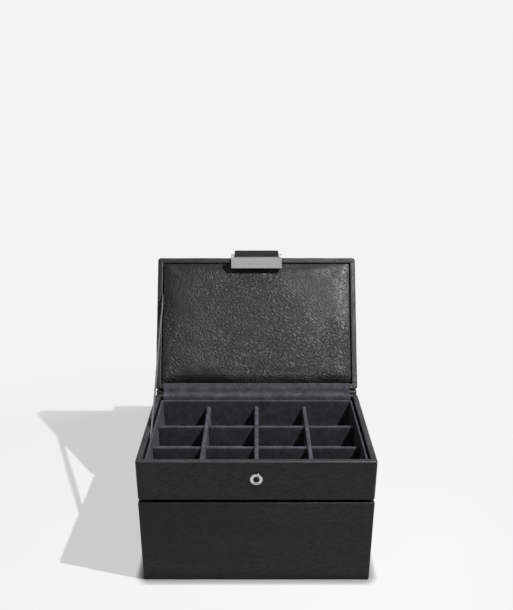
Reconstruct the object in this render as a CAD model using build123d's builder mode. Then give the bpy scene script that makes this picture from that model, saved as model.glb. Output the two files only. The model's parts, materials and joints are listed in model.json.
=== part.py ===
from build123d import *
import math
import os

os.makedirs("parts", exist_ok=True)

# Cufflink box on a drawer unit. Millimetres. Origin: centre of the footprint, on the table.
# +X is to the right, +Y to the back and +Z up, so the front of the box faces -Y.
# It stands as it is shown: drawer shut, lid open and leaning on its ribbon, clasp hanging.

# ------------------------------------------------------------------ driving sizes
# Both units
box_width = 180.0
box_depth = 122.0
case_wall = 4.8  # board with its leather cover
pocket_gap = 0.8  # slack round the insert, the drawer and the lid's padded panel

# Lower unit, which holds the drawer
lower_height = 72.5  # from the table to the top of the lower unit
felt_thickness = 0.8
felt_inset = 3.0
floor_thickness = 4.0
deck_thickness = 4.0
deck_recess = 3.0  # the upper unit's plinth stands this deep in the lower unit's top
deck_lip_depth = 5.0
stop_depth = 12.0
stop_height = 3.5

# Drawer
drawer_front_thickness = 6.0
drawer_front_gap = 0.4  # between the drawer front and the edges of the case
drawer_front_lift = 0.4  # the drawer front ends this far above the underside of the case
drawer_front_edge = 0.7
drawer_wall = 4.0
drawer_floor_thickness = 2.5
drawer_pad_thickness = 2.0
drawer_running_gap = 0.3  # under the drawer box
drawer_head_gap = 0.8  # over the drawer box

# Upper unit
groove = 2.65  # shadow gap between the two units
upper_height = 33.15
upper_base_thickness = 3.0
corner_radius = 2.6
rim_radius = 1.6

# Insert with its compartments
insert_wall = 1.8
insert_floor = 1.5
insert_drop = 3.2  # from the rim down to the top of the insert
column_divider_thickness = 3.5
column_divider_drop = 8.6  # from the rim
row_divider_thickness = 3.2
row_divider_drop = 10.4  # from the rim
divider_edge = 1.3
column_count = 4
row_count = 3
lap_height = 9.0  # above the insert's floor, where the crossing dividers are halved
lap_gap = 0.1

# Press stud
socket_drop = 14.7  # from the rim to the middle of the socket
socket_radius = 5.05
socket_hole_radius = 2.15
socket_barrel_radius = 3.0
socket_height = 1.1
socket_edge = 0.45
backing_thickness = 0.45
barrel_hole_gap = 0.15

# Lid
lid_depth = 121.5
lid_thickness = 10.0
lid_board_thickness = 5.0
lid_seat_gap = 0.2  # left over the rim when the lid is shut
lid_open_angle = 122.5
lid_edge = 1.4
panel_board_thickness = 2.0
pad_edge_height = 2.6
pad_crown = 1.5  # how far the middle of the pad stands above its edge
pad_edge_radius = 1.1
pad_side_draw = 0.5  # how far the pad's sides are drawn in between its corners
pad_steep = 0.2  # a face whose normal has less than this share along the crown is a side
hinge_behind = 1.4  # hinge axis behind the back of the case
hinge_rise = 2.0  # hinge axis above the rim

# Cloth and leather strips
lining_thickness = 0.8
lining_half_width = 83.0
lining_depth = 26.0  # glued length below the rim
lining_lap = 5.2  # glued length on the lid
spine_half_width = 88.6
spine_depth = 15.0
spine_lap_end = 1.0  # it stops this far short of the lid's outer face
skin_gap = 0.05
rim_skin = 0.15  # extra room where the lining turns over an edge
lining_bends = (0.7, 1.5, 1.5)  # radii where it turns over the rim and up the lid
spine_bends = (1.2, 0.6)
spine_rise = 0.6  # the spine goes straight up this far past the rim before it leans back
spine_bulge_y = 0.2  # its outermost point, from the hinge axis
spine_bulge_z = 0.9
ribbon_width = 7.0
ribbon_thickness = 0.5
ribbon_foot_y = -3.9  # where it drops below the rim
ribbon_lid_reach = 82.7  # from the lid's hinged edge
ribbon_tuck = 20.0  # glued length inside the case
ribbon_lid_tuck = 3.0

# Clasp
leather = 1.8
flap_width = 40.0
root_length = 30.0
root_gap = 1.3  # from the lid's free edge to the fold
riser_length = 7.5
riser_end_gap = 2.0
flap_rest_rise = 20.5  # degrees, slope of the line from the fold to the bar's pin
bar_width = 45.4
bar_thickness = 4.2
bar_height = 9.8
bar_plate = 1.2
bar_above_pin = 0.6
bar_edge = 0.4
ear_radius = 2.6
ear_side_gap = 0.3
pin_radius = 0.7
pin_gap = 0.1
loop_radius = 1.6
loop_gap = 0.35
stud_below_pin = 4.9
stud_radius = 1.85
stud_length = 2.2
stud_flange_radius = 3.4
stud_flange = 0.5
stud_gap = 0.4  # from the stud's tip to the socket, lid shut and stud not pressed
snap_drop = 0.4  # the stud rises this much while it is pressed home

# ------------------------------------------------------------------ places worked out from them
half_width = box_width / 2
front_y = -box_depth / 2
back_y = box_depth / 2
inner_half_width = half_width - case_wall
inner_front_y = front_y + case_wall
inner_back_y = back_y - case_wall

case_bottom_z = felt_thickness
case_front_y = front_y + drawer_front_thickness + drawer_front_gap
floor_top_z = case_bottom_z + floor_thickness
deck_top_z = lower_height - deck_recess
deck_bottom_z = deck_top_z - deck_thickness
stop_bottom_z = deck_bottom_z - stop_height
lip_back_y = case_front_y + deck_lip_depth

drawer_half_width = inner_half_width - pocket_gap
drawer_inner_half_width = drawer_half_width - drawer_wall
drawer_back_y = inner_back_y - pocket_gap
drawer_box_front_y = front_y + drawer_front_thickness
drawer_bottom_z = floor_top_z + drawer_running_gap
drawer_side_top_z = stop_bottom_z - drawer_head_gap
drawer_back_top_z = deck_bottom_z - drawer_head_gap

upper_bottom_z = lower_height + groove
rim_z = upper_bottom_z + upper_height
base_top_z = upper_bottom_z + upper_base_thickness
plinth_half_width = inner_half_width - pocket_gap
plinth_front_y = lip_back_y + pocket_gap
plinth_back_y = inner_back_y - pocket_gap

insert_half_width = inner_half_width - pocket_gap
insert_front_y = inner_front_y + pocket_gap
insert_back_y = inner_back_y - lining_thickness - skin_gap - pocket_gap
insert_top_z = rim_z - insert_drop
insert_floor_z = base_top_z + insert_floor
insert_inner_half_width = insert_half_width - insert_wall
insert_inner_front_y = insert_front_y + insert_wall
insert_inner_back_y = insert_back_y - insert_wall
insert_inner_depth = insert_inner_back_y - insert_inner_front_y
insert_middle_y = (insert_inner_back_y + insert_inner_front_y) / 2
column_space = 2 * insert_inner_half_width - (column_count - 1) * column_divider_thickness
column_pitch = column_space / column_count + column_divider_thickness
row_space = insert_inner_depth - (row_count - 1) * row_divider_thickness
row_pitch = row_space / row_count + row_divider_thickness
column_places = [(i - (column_count - 2) / 2) * column_pitch for i in range(column_count - 1)]
row_places = [insert_middle_y + (i - (row_count - 2) / 2) * row_pitch for i in range(row_count - 1)]
column_top_z = rim_z - column_divider_drop
row_top_z = rim_z - row_divider_drop
lap_z = insert_floor_z + lap_height

socket_z = rim_z - socket_drop

# The open lid has its own plane: local x is the box's x, local y runs from the hinged edge to
# the free edge, and local z points out of the lid's inner face.
open_radians = math.radians(lid_open_angle)
lid_along = (-math.cos(open_radians), math.sin(open_radians))
lid_inward = (-math.sin(open_radians), -math.cos(open_radians))
hinge_y = back_y + hinge_behind
hinge_z = rim_z + hinge_rise
shut_edge_y = back_y - hinge_y  # the lid's inner hinged edge, from the axis, when it is shut
shut_edge_z = rim_z + lid_seat_gap - hinge_z
lid_origin_y = hinge_y + math.cos(open_radians) * shut_edge_y + math.sin(open_radians) * shut_edge_z
lid_origin_z = hinge_z - math.sin(open_radians) * shut_edge_y + math.cos(open_radians) * shut_edge_z
lid_plane = Plane(
    origin=(0, lid_origin_y, lid_origin_z),
    x_dir=(1, 0, 0),
    z_dir=(0, lid_inward[0], lid_inward[1]),
)


def lid_point(along, inward):
    """The (y, z) of a point that is given along the lid and out of its inner face."""
    return (
        lid_origin_y + along * lid_along[0] + inward * lid_inward[0],
        lid_origin_z + along * lid_along[1] + inward * lid_inward[1],
    )


# The fold, the riser's top and the bar's pin, lid open. The distance from the fold to the pin is
# the one that brings the stud to the socket when the lid is shut.
fold_along = lid_depth + root_gap
leather_inward = -lid_thickness - leather / 2
fold_y, fold_z = lid_point(fold_along, leather_inward)
riser_y, riser_z = lid_point(fold_along + riser_length, leather_inward)
shut_fold_y = back_y - fold_along
shut_fold_z = rim_z + lid_seat_gap - leather_inward
shut_pin_y = front_y - socket_height - stud_gap - stud_length - bar_thickness / 2
shut_pin_z = socket_z - snap_drop + stud_below_pin
pin_reach = math.hypot(shut_fold_y - shut_pin_y, shut_fold_z - shut_pin_z)
pin_y = fold_y - pin_reach * math.cos(math.radians(flap_rest_rise))
pin_z = fold_z + pin_reach * math.sin(math.radians(flap_rest_rise))
bar_front_y = pin_y - bar_thickness / 2
bar_back_y = pin_y + bar_thickness / 2
bar_top_z = pin_z + bar_above_pin
bar_bottom_z = bar_top_z - bar_height
ear_inner_x = flap_width / 2 + ear_side_gap
stud_z = pin_z - stud_below_pin

ribbon_x = -(inner_half_width + insert_half_width) / 2
panel_half_width = inner_half_width - pocket_gap
panel_low = case_wall + pocket_gap
panel_high = lid_depth - case_wall - pocket_gap


def save(piece, name):
    """Names a finished piece and writes it to its own file."""
    piece.part.label = name
    export_step(piece.part, f"parts/{name}.step")


def board(name, x_range, y_range, z_range):
    """A plain rectangular board between two values on each axis."""
    with BuildPart() as piece:
        with BuildSketch(Plane.XY.offset(z_range[0])):
            with Locations((sum(x_range) / 2, sum(y_range) / 2)):
                Rectangle(x_range[1] - x_range[0], y_range[1] - y_range[0])
        extrude(amount=z_range[1] - z_range[0])
    save(piece, name)


def mitred_rail(name, plane, depth, height, side, edge_radius, hole_plane=None):
    """One side of a box-wide frame, cut at 45 degrees, with a rounded outer edge on its top.

    The plane's origin is the middle of the frame and its z axis points to the frame's top.
    """
    half_depth = depth / 2
    outer_x, outer_y = half_width, half_depth
    inner_x, inner_y = half_width - case_wall, half_depth - case_wall
    reach_x, reach_y = half_width + case_wall, half_depth + case_wall
    wedges = {
        "front": [(-reach_x, -reach_y), (reach_x, -reach_y), (inner_x, -inner_y), (-inner_x, -inner_y)],
        "back": [(-reach_x, reach_y), (-inner_x, inner_y), (inner_x, inner_y), (reach_x, reach_y)],
        "left": [(-reach_x, -reach_y), (-inner_x, -inner_y), (-inner_x, inner_y), (-reach_x, reach_y)],
        "right": [(reach_x, -reach_y), (reach_x, reach_y), (inner_x, inner_y), (inner_x, -inner_y)],
    }
    with BuildPart() as rail:
        with BuildSketch(plane):
            RectangleRounded(2 * outer_x, 2 * outer_y, corner_radius)
        extrude(amount=height)
        top = rail.faces().sort_by(Axis(plane.origin, plane.z_dir))[-1]
        fillet(top.edges(), edge_radius)
        with BuildSketch(plane):
            Rectangle(2 * inner_x, 2 * inner_y)
        extrude(amount=height, mode=Mode.SUBTRACT)
        with BuildSketch(plane):
            with BuildLine():
                Polyline(*wedges[side], close=True)
            make_face()
        extrude(amount=height, mode=Mode.INTERSECT)
        if hole_plane is not None:
            with BuildSketch(hole_plane):
                Circle(socket_barrel_radius + barrel_hole_gap)
            extrude(amount=-case_wall, mode=Mode.SUBTRACT)
    save(rail, name)


def strip(name, points, radii, thickness, half_width_x):
    """A thin band that follows a line in the YZ plane, as wide as twice half_width_x."""
    with BuildPart() as band:
        with BuildSketch(Plane.YZ.offset(-half_width_x)):
            with BuildLine():
                middle = FilletPolyline(*points, radius=radii)
                offset(middle, amount=thickness / 2, side=Side.BOTH)
            make_face()
        extrude(amount=2 * half_width_x)
    save(band, name)


# ------------------------------------------------------------------ lower unit
for side_name, side in (("left", -1), ("right", 1)):
    side_x = sorted((side * inner_half_width, side * half_width))
    board(f"lower_side_{side_name}", side_x, (case_front_y, back_y), (case_bottom_z, lower_height))
inner_x = (-inner_half_width, inner_half_width)
board("lower_back", inner_x, (inner_back_y, back_y), (case_bottom_z, lower_height))
board("lower_floor", inner_x, (case_front_y, inner_back_y), (case_bottom_z, floor_top_z))
board("lower_deck", inner_x, (case_front_y, inner_back_y), (deck_bottom_z, deck_top_z))
board("deck_lip", inner_x, (case_front_y, lip_back_y), (deck_top_z, lower_height))

stop_x = (-drawer_inner_half_width + pocket_gap, drawer_inner_half_width - pocket_gap)
board("drawer_stop", stop_x, (case_front_y, case_front_y + stop_depth), (stop_bottom_z, deck_bottom_z))

with BuildPart() as base_felt:
    with BuildSketch():
        with Locations((0, (case_front_y + back_y) / 2)):
            RectangleRounded(
                box_width - 2 * felt_inset, back_y - case_front_y - 2 * felt_inset, felt_inset
            )
    extrude(amount=felt_thickness)
save(base_felt, "base_felt")

# ------------------------------------------------------------------ drawer
with BuildPart() as drawer_front:
    with BuildSketch(Plane.XY.offset(case_bottom_z + drawer_front_lift)):
        with Locations((0, front_y + drawer_front_thickness / 2)):
            Rectangle(box_width, drawer_front_thickness)
    extrude(amount=lower_height - case_bottom_z - drawer_front_lift)
    fillet(drawer_front.faces().sort_by(Axis.Y)[0].edges(), drawer_front_edge)
save(drawer_front, "drawer_front")

drawer_inner_x = (-drawer_inner_half_width, drawer_inner_half_width)
drawer_side_y = (drawer_box_front_y, drawer_back_y)
for side_name, side in (("left", -1), ("right", 1)):
    side_x = sorted((side * drawer_inner_half_width, side * drawer_half_width))
    board(f"drawer_side_{side_name}", side_x, drawer_side_y, (drawer_bottom_z, drawer_side_top_z))
drawer_room_y = (drawer_box_front_y + drawer_wall, drawer_back_y - drawer_wall)
board(
    "drawer_inner_front",
    drawer_inner_x,
    (drawer_box_front_y, drawer_room_y[0]),
    (drawer_bottom_z, drawer_side_top_z),
)
board("drawer_back", drawer_inner_x, (drawer_room_y[1], drawer_back_y), (drawer_bottom_z, drawer_back_top_z))
drawer_floor_top_z = drawer_bottom_z + drawer_floor_thickness
board("drawer_floor", drawer_inner_x, drawer_room_y, (drawer_bottom_z, drawer_floor_top_z))
board(
    "drawer_pad",
    drawer_inner_x,
    drawer_room_y,
    (drawer_floor_top_z, drawer_floor_top_z + drawer_pad_thickness),
)

# ------------------------------------------------------------------ upper unit
socket_plane = Plane(origin=(0, front_y, socket_z), x_dir=(1, 0, 0), z_dir=(0, -1, 0))
upper_plane = Plane.XY.offset(upper_bottom_z)
mitred_rail("upper_wall_front", upper_plane, box_depth, upper_height, "front", rim_radius, socket_plane)
for side_name in ("back", "left", "right"):
    mitred_rail(f"upper_wall_{side_name}", upper_plane, box_depth, upper_height, side_name, rim_radius)
board("upper_base", inner_x, (inner_front_y, inner_back_y), (upper_bottom_z, base_top_z))

plinth_x = (-plinth_half_width, plinth_half_width)
plinth_y = (plinth_front_y, plinth_back_y)
plinth_bottom_z = deck_top_z + felt_thickness
board("plinth", plinth_x, plinth_y, (plinth_bottom_z, upper_bottom_z))
board(
    "plinth_felt",
    (-plinth_half_width + felt_inset, plinth_half_width - felt_inset),
    (plinth_front_y + felt_inset, plinth_back_y - felt_inset),
    (deck_top_z, plinth_bottom_z),
)

with BuildPart() as snap_socket:
    with BuildSketch(socket_plane):
        Circle(socket_radius)
    extrude(amount=socket_height)
    fillet(snap_socket.edges().sort_by(Axis.Y)[0], socket_edge)
    with BuildSketch(socket_plane):
        Circle(socket_barrel_radius)
    extrude(amount=-case_wall)
    with BuildSketch(socket_plane.offset(socket_height)):
        Circle(socket_hole_radius)
    extrude(amount=-case_wall - socket_height, mode=Mode.SUBTRACT)
save(snap_socket, "snap_socket")

with BuildPart() as snap_backing:
    with BuildSketch(socket_plane.offset(-case_wall)):
        Circle(socket_radius)
    extrude(amount=-backing_thickness)
save(snap_backing, "snap_backing")

# ------------------------------------------------------------------ insert
insert_inner_x = (-insert_inner_half_width, insert_inner_half_width)
insert_inner_y = (insert_inner_front_y, insert_inner_back_y)
insert_x = (-insert_half_width, insert_half_width)
wall_z = (base_top_z, insert_top_z)
board("insert_wall_front", insert_x, (insert_front_y, insert_inner_front_y), wall_z)
board("insert_wall_back", insert_x, (insert_inner_back_y, insert_back_y), wall_z)
for side_name, side in (("left", -1), ("right", 1)):
    side_x = sorted((side * insert_inner_half_width, side * insert_half_width))
    board(f"insert_wall_{side_name}", side_x, insert_inner_y, wall_z)
board("insert_floor", insert_inner_x, insert_inner_y, (base_top_z, insert_floor_z))

for number, column_x in enumerate(column_places, start=1):
    with BuildPart() as column_divider:
        with BuildSketch(Plane.XY.offset(insert_floor_z)):
            with Locations((column_x, insert_middle_y)):
                Rectangle(column_divider_thickness, insert_inner_depth)
        extrude(amount=column_top_z - insert_floor_z)
        top_edges = column_divider.edges().filter_by(Axis.Y).group_by(Axis.Z)[-1]
        fillet(top_edges, divider_edge)
        with BuildSketch(Plane.XY.offset(insert_floor_z)):
            with Locations(*[(column_x, row_y) for row_y in row_places]):
                Rectangle(column_divider_thickness, row_divider_thickness + 2 * lap_gap)
        extrude(amount=lap_height + lap_gap, mode=Mode.SUBTRACT)
    save(column_divider, f"column_divider_{number}")

for number, row_y in enumerate(row_places, start=1):
    with BuildPart() as row_divider:
        with BuildSketch(Plane.XY.offset(insert_floor_z)):
            with Locations((0, row_y)):
                Rectangle(2 * insert_inner_half_width, row_divider_thickness)
        extrude(amount=row_top_z - insert_floor_z)
        top_edges = row_divider.edges().filter_by(Axis.X).group_by(Axis.Z)[-1]
        fillet(top_edges, divider_edge)
        with BuildSketch(Plane.XY.offset(lap_z)):
            with Locations(*[(column_x, row_y) for column_x in column_places]):
                Rectangle(column_divider_thickness + 2 * lap_gap, row_divider_thickness)
        extrude(amount=row_top_z - lap_z, mode=Mode.SUBTRACT)
    save(row_divider, f"row_divider_{number}")

# ------------------------------------------------------------------ lid, standing open
outer_plane = Plane(
    origin=(0, *lid_point(lid_depth / 2, -lid_thickness)),
    x_dir=(1, 0, 0),
    z_dir=lid_plane.z_dir,
)
with BuildPart() as lid_board:
    with BuildSketch(outer_plane):
        RectangleRounded(box_width, lid_depth, corner_radius)
    extrude(amount=lid_board_thickness)
    outer_face = lid_board.faces().sort_by(Axis(lid_plane.origin, lid_plane.z_dir))[0]
    fillet(outer_face.edges(), lid_edge)
save(lid_board, "lid_board")

rail_plane = outer_plane.offset(lid_board_thickness)
rail_height = lid_thickness - lid_board_thickness
for lid_side, frame_side in (("hinge", "front"), ("free", "back"), ("left", "left"), ("right", "right")):
    mitred_rail(f"lid_rail_{lid_side}", rail_plane, lid_depth, rail_height, frame_side, lid_edge)

with BuildPart() as lid_panel_board:
    with BuildSketch(rail_plane):
        with Locations((0, (panel_low + panel_high) / 2 - lid_depth / 2)):
            Rectangle(2 * panel_half_width, panel_high - panel_low)
    extrude(amount=panel_board_thickness)
save(lid_panel_board, "lid_panel_board")

# The pad: an outline with drawn-in sides, cut by an arched section each way for its crown.
pad_plane = rail_plane.offset(panel_board_thickness)
pad_half_length = (panel_high - panel_low) / 2
pad_centre_y = (panel_low + panel_high) / 2 - lid_depth / 2
pad_corners = [
    (-panel_half_width, pad_centre_y - pad_half_length),
    (panel_half_width, pad_centre_y - pad_half_length),
    (panel_half_width, pad_centre_y + pad_half_length),
    (-panel_half_width, pad_centre_y + pad_half_length),
]
pad_side_middles = [
    (0, pad_centre_y - pad_half_length + pad_side_draw),
    (panel_half_width - pad_side_draw, pad_centre_y),
    (0, pad_centre_y + pad_half_length - pad_side_draw),
    (-panel_half_width + pad_side_draw, pad_centre_y),
]
pad_top = pad_edge_height + pad_crown
with BuildPart() as lid_pad:
    with BuildSketch(pad_plane):
        with BuildLine():
            for number, middle_point in enumerate(pad_side_middles):
                ThreePointArc(pad_corners[number], middle_point, pad_corners[(number + 1) % 4])
        make_face()
    extrude(amount=pad_top)
    across_plane = Plane(
        origin=pad_plane.from_local_coords((0, pad_centre_y - pad_half_length, 0)),
        x_dir=(1, 0, 0),
        z_dir=-pad_plane.y_dir,
    )
    with BuildSketch(across_plane):
        with BuildLine():
            ThreePointArc(
                (-panel_half_width, pad_edge_height), (0, pad_top), (panel_half_width, pad_edge_height)
            )
            Polyline(
                (-panel_half_width, pad_edge_height),
                (-panel_half_width, 0),
                (panel_half_width, 0),
                (panel_half_width, pad_edge_height),
            )
        make_face()
    extrude(amount=-2 * pad_half_length, mode=Mode.INTERSECT)
    along_plane = Plane(
        origin=pad_plane.from_local_coords((-panel_half_width, pad_centre_y, 0)),
        x_dir=pad_plane.y_dir,
        z_dir=(1, 0, 0),
    )
    with BuildSketch(along_plane):
        with BuildLine():
            ThreePointArc((-pad_half_length, pad_edge_height), (0, pad_top), (pad_half_length, pad_edge_height))
            Polyline(
                (-pad_half_length, pad_edge_height),
                (-pad_half_length, 0),
                (pad_half_length, 0),
                (pad_half_length, pad_edge_height),
            )
        make_face()
    extrude(amount=2 * panel_half_width, mode=Mode.INTERSECT)
    side_edges = []
    crown_edges = []
    for face in lid_pad.faces():
        share = face.normal_at().dot(pad_plane.z_dir)
        if abs(share) < pad_steep:
            side_edges.extend(face.edges())
        elif share > 0:
            crown_edges.extend(face.edges())
    pad_rim = [edge for edge in crown_edges if any(edge.is_same(other) for other in side_edges)]
    fillet(pad_rim, pad_edge_radius)
save(lid_pad, "lid_pad")

# ------------------------------------------------------------------ hinge cloths and ribbon
lining_y = inner_back_y - skin_gap - lining_thickness / 2
lining_lift = skin_gap + lining_thickness / 2
strip(
    "hinge_lining",
    [
        (lining_y, rim_z - lining_depth),
        (lining_y, rim_z + lining_lift + rim_skin),
        (back_y - rim_radius, rim_z + lining_lift + 2 * rim_skin),
        lid_point(2 * rim_skin, lining_lift + rim_skin),
        lid_point(lining_lap, lining_lift),
    ],
    lining_bends,
    lining_thickness,
    lining_half_width,
)

spine_y = back_y + skin_gap + lining_thickness / 2
strip(
    "hinge_spine",
    [
        (spine_y, rim_z - spine_depth),
        (spine_y, rim_z + spine_rise),
        (hinge_y + spine_bulge_y, hinge_z + spine_bulge_z),
        lid_point(-lining_lift, spine_lap_end - lid_thickness),
    ],
    spine_bends,
    lining_thickness,
    spine_half_width,
)

ribbon_lid_point = lid_point(ribbon_lid_reach, 0)
ribbon_run = math.hypot(ribbon_lid_point[0] - ribbon_foot_y, ribbon_lid_point[1] - rim_z)
ribbon_dir = (
    (ribbon_lid_point[0] - ribbon_foot_y) / ribbon_run,
    (ribbon_lid_point[1] - rim_z) / ribbon_run,
)
ribbon_slope = math.degrees(math.atan2(ribbon_dir[1], ribbon_dir[0]))
ribbon_length = ribbon_run + ribbon_tuck + ribbon_lid_tuck
ribbon_shift = (ribbon_run + ribbon_lid_tuck - ribbon_tuck) / 2
with BuildPart() as stay_ribbon:
    with BuildSketch(Plane.YZ.offset(ribbon_x - ribbon_thickness / 2)):
        with Locations(
            Location(
                (
                    ribbon_foot_y + ribbon_shift * ribbon_dir[0],
                    rim_z + ribbon_shift * ribbon_dir[1],
                ),
                ribbon_slope,
            )
        ):
            Rectangle(ribbon_length, ribbon_width)
    extrude(amount=ribbon_thickness)
save(stay_ribbon, "stay_ribbon")

# ------------------------------------------------------------------ clasp
with BuildPart() as flap_root:
    with BuildSketch(lid_plane.offset(-lid_thickness)):
        with Locations((0, lid_depth - root_length / 2)):
            Rectangle(flap_width, root_length)
    extrude(amount=-leather)
save(flap_root, "flap_root")

riser_slope = 180 - lid_open_angle
with BuildPart() as flap_riser:
    with BuildSketch(Plane.YZ.offset(-flap_width / 2)):
        with Locations((fold_y, fold_z)):
            Circle(leather / 2)
        with Locations(
            Location(
                lid_point(fold_along + (riser_length - riser_end_gap) / 2, leather_inward), riser_slope
            )
        ):
            Rectangle(riser_length - riser_end_gap, leather)
    extrude(amount=flap_width)
save(flap_riser, "flap_riser")

flap_run = math.hypot(riser_y - pin_y, riser_z - pin_z)
flap_slope = math.degrees(math.atan2(pin_z - riser_z, pin_y - riser_y))
with BuildPart() as flap_leather:
    with BuildSketch(Plane.YZ.offset(-flap_width / 2)):
        with Locations((riser_y, riser_z)):
            Circle(leather / 2)
        with Locations((pin_y, pin_z)):
            Circle(loop_radius)
        with Locations(Location(((riser_y + pin_y) / 2, (riser_z + pin_z) / 2), flap_slope)):
            Rectangle(flap_run, leather)
        with Locations((pin_y, pin_z)):
            Circle(pin_radius + pin_gap, mode=Mode.SUBTRACT)
    extrude(amount=flap_width)
save(flap_leather, "flap_leather")

with BuildPart() as clasp_bar:
    with BuildSketch(Plane.YZ.offset(-bar_width / 2)):
        with Locations((pin_y, (bar_bottom_z + bar_top_z) / 2)):
            Rectangle(bar_thickness, bar_height)
    extrude(amount=bar_width)
    fillet(clasp_bar.edges().filter_by(Axis.X).group_by(Axis.Z)[0], bar_edge)
    with BuildSketch(Plane.YZ.offset(-bar_width / 2)):
        with Locations((pin_y, pin_z)):
            Circle(ear_radius)
    extrude(amount=bar_width)
    with BuildSketch(Plane.YZ.offset(-ear_inner_x)):
        with Locations((pin_y, pin_z)):
            Circle(loop_radius + loop_gap)
        with Locations((bar_back_y, pin_z)):
            Rectangle(2 * (bar_thickness - bar_plate), 2 * (loop_radius + loop_gap))
        with Locations((pin_y, pin_z + 2 * ear_radius)):
            Rectangle(4 * ear_radius, 4 * ear_radius - 2 * bar_above_pin)
    extrude(amount=2 * ear_inner_x, mode=Mode.SUBTRACT)
    with BuildSketch(Plane.YZ.offset(-bar_width / 2)):
        with Locations((pin_y, pin_z)):
            Circle(pin_radius)
    extrude(amount=bar_width, mode=Mode.SUBTRACT)
save(clasp_bar, "clasp_bar")

with BuildPart() as bar_pin:
    with BuildSketch(Plane.YZ.offset(-bar_width / 2)):
        with Locations((pin_y, pin_z)):
            Circle(pin_radius)
    extrude(amount=bar_width)
save(bar_pin, "bar_pin")

stud_plane = Plane(origin=(0, bar_back_y, stud_z), x_dir=(-1, 0, 0), z_dir=(0, 1, 0))
with BuildPart() as clasp_stud:
    with BuildSketch(stud_plane):
        Circle(stud_flange_radius)
    extrude(amount=stud_flange)
    with BuildSketch(stud_plane):
        Circle(stud_radius)
    extrude(amount=stud_length)
    fillet(clasp_stud.edges().sort_by(Axis.Y)[-1], stud_flange)
save(clasp_stud, "clasp_stud")
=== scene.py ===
# %% [markdown]
# # A leather cufflink box that stands on a drawer unit
# The imported CAD part is the frame. It holds every board at its real size, and most pieces made
# here ride on one of its bodies; the pieces that span two bodies stay where they are made. Only looks
# are made in this file: leather that wraps the boards, suede, a padded panel, cloth hinges, a strap,
# and metal. All lengths are in metres.

import json
import math

import bmesh
import bpy
from mathutils import Matrix, Vector, noise
from mathutils.geometry import interpolate_bezier


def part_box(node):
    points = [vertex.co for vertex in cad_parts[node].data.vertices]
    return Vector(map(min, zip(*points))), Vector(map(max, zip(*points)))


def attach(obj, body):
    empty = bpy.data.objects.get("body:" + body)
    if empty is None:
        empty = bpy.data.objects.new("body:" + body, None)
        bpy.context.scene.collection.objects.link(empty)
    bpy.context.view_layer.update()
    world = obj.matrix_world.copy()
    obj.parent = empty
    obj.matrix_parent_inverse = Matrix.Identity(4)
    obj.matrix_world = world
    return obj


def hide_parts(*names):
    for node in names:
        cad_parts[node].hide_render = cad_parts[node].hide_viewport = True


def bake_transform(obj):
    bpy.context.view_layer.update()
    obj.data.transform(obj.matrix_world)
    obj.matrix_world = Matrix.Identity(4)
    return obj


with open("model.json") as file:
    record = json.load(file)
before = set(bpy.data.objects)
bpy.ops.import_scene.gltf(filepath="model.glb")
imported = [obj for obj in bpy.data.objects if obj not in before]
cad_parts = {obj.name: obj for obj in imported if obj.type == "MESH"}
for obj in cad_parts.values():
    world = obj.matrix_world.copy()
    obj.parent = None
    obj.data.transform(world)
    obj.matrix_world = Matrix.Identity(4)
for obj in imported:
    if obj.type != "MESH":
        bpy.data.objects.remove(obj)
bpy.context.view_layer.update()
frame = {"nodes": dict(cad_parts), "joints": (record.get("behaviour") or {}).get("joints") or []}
mm = 0.001

# %% [markdown]
# ## The open lid's own directions
# The lid leans back, so its pieces are easier to place along the lid than along the room's axes.
# The CAD part states the hinge axis and how far the lid turns until it is shut. From those two the
# lid's hinged edge and its two directions follow, and `on_lid` turns lid places into room places.

# %% Find the lid's place from its hinge
joints = {joint["name"]: joint for joint in frame["joints"]}
hinge_y, hinge_z = joints["lid_hinge"]["pos_m"][1:]
open_angle = math.radians(joints["lid_hinge"]["range_deg"][1])
cosine, sine = math.cos(open_angle), math.sin(open_angle)
back_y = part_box("lower_back")[1].y
front_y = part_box("drawer_front")[0].y
rim_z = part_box("upper_wall_left")[1].z
seat_gap = 0.2 * mm
shut_edge = (back_y - hinge_y, rim_z + seat_gap - hinge_z)
lid_y = hinge_y + cosine * shut_edge[0] + sine * shut_edge[1]
lid_z = hinge_z - sine * shut_edge[0] + cosine * shut_edge[1]
lid_depth = 121.5 * mm
lid_thickness = 10 * mm


def on_lid(x, along, inward):
    """The room place of a point given across the lid, from its hinged edge, and out of its inner face."""
    return Vector((x, lid_y - along * cosine - inward * sine, lid_z + along * sine - inward * cosine))


print("free edge of the lid in mm:", [round(v / mm, 1) for v in on_lid(0, lid_depth, 0)])

# %% [markdown]
# ## Making meshes from loops
# A board that is wrapped in leather has a rounded outline and soft edges all round. The easiest way
# to get both is to draw one outline, repeat it at other depths and insets, and skin the loops with
# faces. Every loop has the same number of points, so each point joins the one above it.

# %% Helpers that build a mesh and wrap loops
half_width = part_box("lower_side_right")[1].x
wall = 4.8 * mm
loop_step = 3 * mm
corner_steps = 6
least_radius = 0.35 * mm


def new_piece(name, points, faces):
    """A smooth-shaded mesh object whose faces all look outwards."""
    mesh = bpy.data.meshes.new(name)
    mesh.from_pydata([tuple(p) for p in points], [], faces)
    work = bmesh.new()
    work.from_mesh(mesh)
    bmesh.ops.recalc_face_normals(work, faces=work.faces)
    work.to_mesh(mesh)
    work.free()
    mesh.shade_smooth()
    piece = bpy.data.objects.new(name, mesh)
    bpy.context.scene.collection.objects.link(piece)
    return piece


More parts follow.
